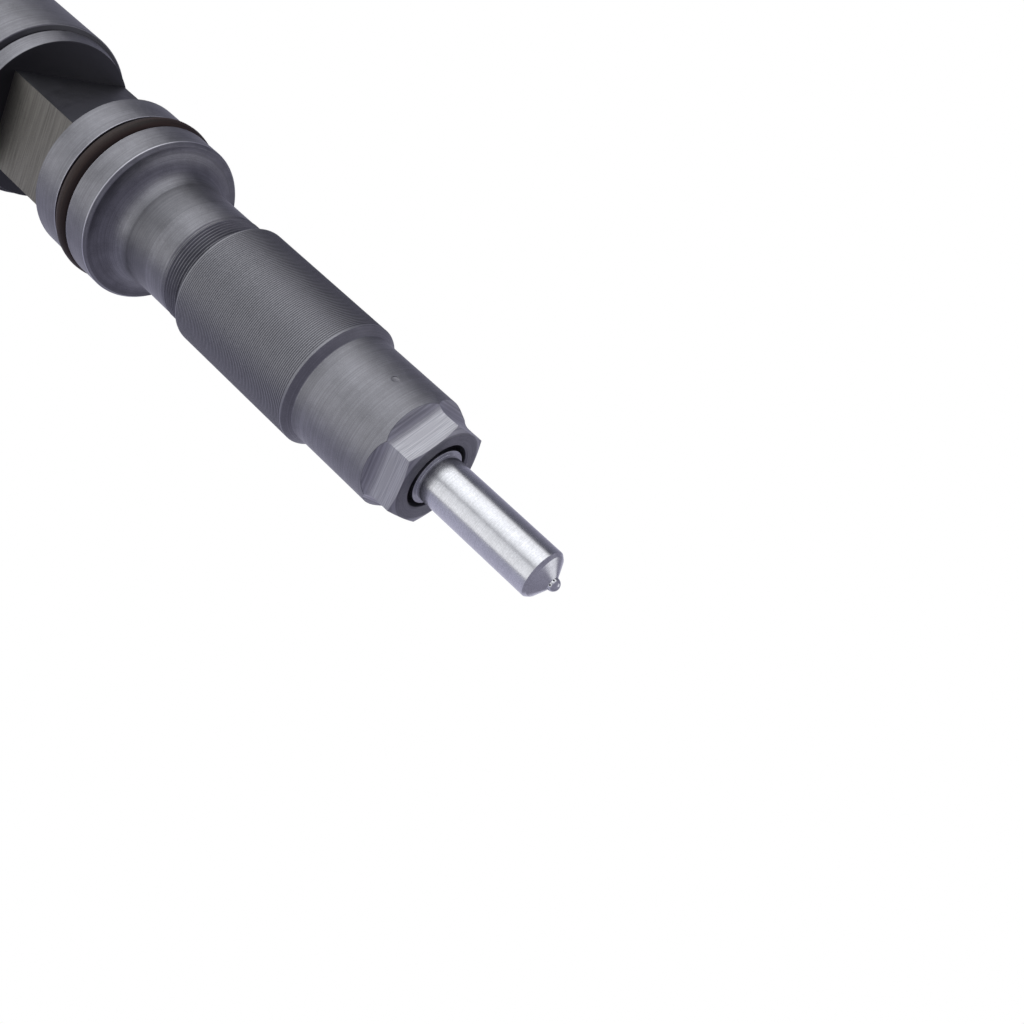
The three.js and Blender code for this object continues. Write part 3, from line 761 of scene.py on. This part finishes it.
def magnet_cover():
    piece = turned("magnet_cover", [
        (0, 150.9), (10.2, 150.9), (10.2, 151.6), (9.0, 151.6), (9.0, 153.2), (10.2, 153.2), (10.2, 153.75),
        (11.1, 153.75), (11.1, 156.6), (10.2, 157.6), (0, 157.6),
    ])
    sides = [side * TERMINAL_X for side in (-1, 1)]
    combine(piece, [drill(3.3, (x, 0, 157), (x, 0, 160), 64) for x in sides], "UNION")
    holes = [drill(2.1, (x, 0, 150), (x, 0, 161), 48) for x in sides]
    return combine(piece, holes + [drill(3.0, (x, 0, 150), (x, 0, 152.4), 48) for x in sides])


def solenoid_nut():
    corner = 13.5 * 2 / math.sqrt(3)
    piece = ring("solenoid_nut", [
        (12.75, 138.4), (14.0, 138.4), (14.3, 138.7), (14.3, 142.5), (corner, 143.3),
        (corner, 153.6), (13.8, 154.6),
        (11.4, 154.6), (11.4, 148.4), (12.75, 148.4),
    ], steps=FINE_STEPS)
    return combine(piece, flats(13.5, 142.5, 156, 30))


fit_out("magnet_core", eased(magnet_core(), 0.04))
fit_out("coil_bobbin", eased(coil_bobbin(), 0.03))
fit_out("coil_winding", coil_winding())
fit_out("valve_spring", coil("spring", 1.95, 0.4, 141.25, 148.0, 5))
fit_out("valve_spring_shim", sleeve("shim", 1.0, 2.8, 148.15, 148.85))
fit_out("magnet_sleeve", ring("sleeve", [
    (9.45, 139.3), (9.95, 139.3), (9.95, 146.2), (12.4, 146.2), (12.4, 148.2), (11.2, 148.2), (11.2, 153.5),
    (10.4, 153.5), (10.4, 150.7), (9.45, 150.7),
], steps=FINE_STEPS, ease=0.08))
fit_out("magnet_o_ring", o_ring("ring", 10.73, 144.5, 0.62))
fit_out("magnet_cover", eased(magnet_cover(), 0.06))
fit_out("cover_seal_ring", o_ring("ring", 9.72, 152.4, 0.58))
fit_out("solenoid_nut", eased(solenoid_nut(), 0.08))


# ---- terminals --------------------------------------------------------------------------------

def terminal_nut(at):
    piece = ring("terminal_nut", [
        (2.1, 163.5), (2.3, 163.3), (3.5, 163.3), (4.04, 163.62), (4.04, 166.18), (3.5, 166.5),
        (2.3, 166.5), (2.1, 166.3),
    ], ease=0.05, at=at)
    return combine(piece, flats(3.5, 162, 168, 0, at))


for number, side in enumerate((-1, 1), 1):
    at = (side * TERMINAL_X, 0)
    fit_out(f"terminal_stud_{number}", turned("stud", [
        (0, 151.1), (2.8, 151.1), (2.8, 152.2), (1.95, 152.2), (1.95, 160.5), (1.62, 160.8),
        *thread(161.0, 174.2, 0.7, 1.95, 1.62), (1.62, 174.3), (1.5, 175.0), (0, 175.0),
    ], ease=0.05, at=at))
    fit_out(f"terminal_insulator_{number}", sleeve("insulator", 2.1, 3.1, 160.3, 162.2, at=at))
    fit_out(f"terminal_washer_{number}", sleeve("washer", 2.1, 3.9, 162.4, 163.1, at=at))
    fit_out(f"terminal_nut_{number}", eased(terminal_nut(at), 0.05))

# ---- stage ------------------------------------------------------------------------------------

CAMERA_TURN = 301.0  # direction from the axis to the camera, degrees round Z from +X


def floor():
    shape = bmesh.new()
    bmesh.ops.create_grid(shape, x_segments=2, y_segments=2, size=3.0)
    mesh = bpy.data.meshes.new("floor")
    shape.to_mesh(mesh)
    shape.free()
    piece = new_object("floor", mesh)
    piece.location.z = cad_box[0][2] - 0.12
    material = bpy.data.materials.new("floor_white")
    material.use_nodes = True
    tree = material.node_tree
    tree.nodes.clear()
    output = tree.nodes.new("ShaderNodeOutputMaterial")
    glow = tree.nodes.new("ShaderNodeEmission")
    glow.inputs["Color"].default_value = (1, 1, 1, 1)
    glow.inputs["Strength"].default_value = 1.0
    tree.links.new(glow.outputs[0], output.inputs["Surface"])
    mesh.materials.append(material)
    for ray in ("diffuse", "glossy", "transmission", "shadow", "volume_scatter"):
        setattr(piece, "visible_" + ray, False)


def ramp_node(tree, value, stops):
    made = tree.nodes.new("ShaderNodeValToRGB")
    tree.links.new(value, made.inputs[0])
    points = made.color_ramp.elements
    while len(points) < len(stops):
        points.new(0.5)
    for point, (at, color) in zip(points, stops):
        point.position = at
        point.color = (*color, 1)
    return made.outputs[0]


def studio():
    """A white backdrop for the camera, and softboxes on both sides of it in every reflection."""
    world = bpy.data.worlds.new("studio")
    bpy.context.scene.world = world
    world.use_nodes = True
    tree = world.node_tree
    tree.nodes.clear()

    def node(kind, inputs=None, **settings):
        made = tree.nodes.new(kind)
        for key, value in settings.items():
            setattr(made, key, value)
        for key, value in (inputs or {}).items():
            if isinstance(value, bpy.types.NodeSocket):
                tree.links.new(value, made.inputs[key])
            else:
                made.inputs[key].default_value = value
        return made

    def calc(operation, a, b=0.0):
        return node("ShaderNodeMath", {0: a, 1: b}, operation=operation).outputs[0]

    way = node("ShaderNodeTexCoord").outputs["Generated"]
    turn = math.radians(CAMERA_TURN)
    front, left = (math.cos(turn), math.sin(turn), 0), (-math.sin(turn), math.cos(turn), 0)
    ahead = node("ShaderNodeVectorMath", {0: way, 1: front}, operation="DOT_PRODUCT")
    aside = node("ShaderNodeVectorMath", {0: way, 1: left}, operation="DOT_PRODUCT")
    angle = calc("ARCTAN2", aside.outputs["Value"], ahead.outputs["Value"])
    around = calc("ADD", calc("DIVIDE", angle, 2 * math.pi), 0.5)
    height = node("ShaderNodeSeparateXYZ", {0: way}).outputs[2]
    up = calc("ADD", calc("DIVIDE", calc("ARCSINE", height), math.pi), 0.5)

    def at(degrees):
        return degrees / 360 + 0.5

    grey = (0.36, 0.35, 0.44)
    dark = (0.10, 0.10, 0.13)
    band = ramp_node(tree, around, [
        (at(-180), (0.75, 0.74, 0.88)), (at(-110), (0.62, 0.61, 0.76)), (at(-66), (0.5, 0.5, 0.62)),
        (at(-63), dark), (at(-59), (1.5, 1.5, 1.5)), (at(-12), (1.15, 1.16, 1.18)),
        (at(-2), (0.42, 0.42, 0.45)),
        (at(8), (1.3, 1.32, 1.34)), (at(36), (1.9, 1.92, 1.95)), (at(74), (1.5, 1.5, 1.52)), (at(84), dark),
        (at(110), (0.2, 0.2, 0.26)), (at(150), (0.4, 0.39, 0.5)), (at(180), (0.75, 0.74, 0.88)),
    ])
    plain = ramp_node(tree, up, [
        (0.0, grey), (0.42, (0.3, 0.29, 0.37)), (0.5, (0.35, 0.34, 0.42)), (0.75, (0.5, 0.5, 0.56)),
        (1.0, (0.9, 0.9, 0.95)),
    ])
    mask = ramp_node(tree, up, [(0.40, (0, 0, 0)), (0.47, (1, 1, 1)), (0.80, (1, 1, 1)), (0.92, (0, 0, 0))])
    light = node("ShaderNodeMix", {0: mask, 6: plain, 7: band}, data_type="RGBA").outputs[2]
    lamp = ramp_node(tree, around, [
        (at(100), (0, 0, 0)), (at(116), (1, 1, 1)), (at(144), (1, 1, 1)), (at(160), (0, 0, 0)),
    ])
    low = ramp_node(tree, up, [(0.08, (0, 0, 0)), (0.14, (1, 1, 1)), (0.27, (1, 1, 1)), (0.33, (0, 0, 0))])
    below = {0: calc("MULTIPLY", lamp, low), 6: light, 7: (1.3, 1.3, 1.35, 1)}
    light = node("ShaderNodeMix", below, data_type="RGBA").outputs[2]
    lit = node("ShaderNodeBackground", {"Color": light, "Strength": 1.0})
    seen = node("ShaderNodeBackground", {"Color": (1, 1, 1, 1), "Strength": 1.0})
    camera_ray = node("ShaderNodeLightPath").outputs["Is Camera Ray"]
    choice = node("ShaderNodeMixShader", {0: camera_ray, 1: lit.outputs[0], 2: seen.outputs[0]})
    output = node("ShaderNodeOutputWorld")
    tree.links.new(choice.outputs[0], output.inputs["Surface"])


def camera():
    lens = bpy.data.cameras.new("camera")
    lens.lens = 43.26
    lens.sensor_width = 36.0
    lens.clip_start = 0.005
    lens.clip_end = 20.0
    eye = bpy.data.objects.new("camera", lens)
    bpy.context.scene.collection.objects.link(eye)
    bpy.context.scene.camera = eye
    right = Vector((0.45058, 0.56890, -0.68798))
    up = Vector((0.76431, 0.15236, 0.62657))
    back = right.cross(up)
    turn = Matrix((right, up, back)).transposed().to_4x4()
    eye.matrix_world = Matrix.Translation(place(72.152, -120.230, -44.119)) @ turn


floor()
studio()
camera()
bpy.context.scene.view_settings.view_transform = "Standard"
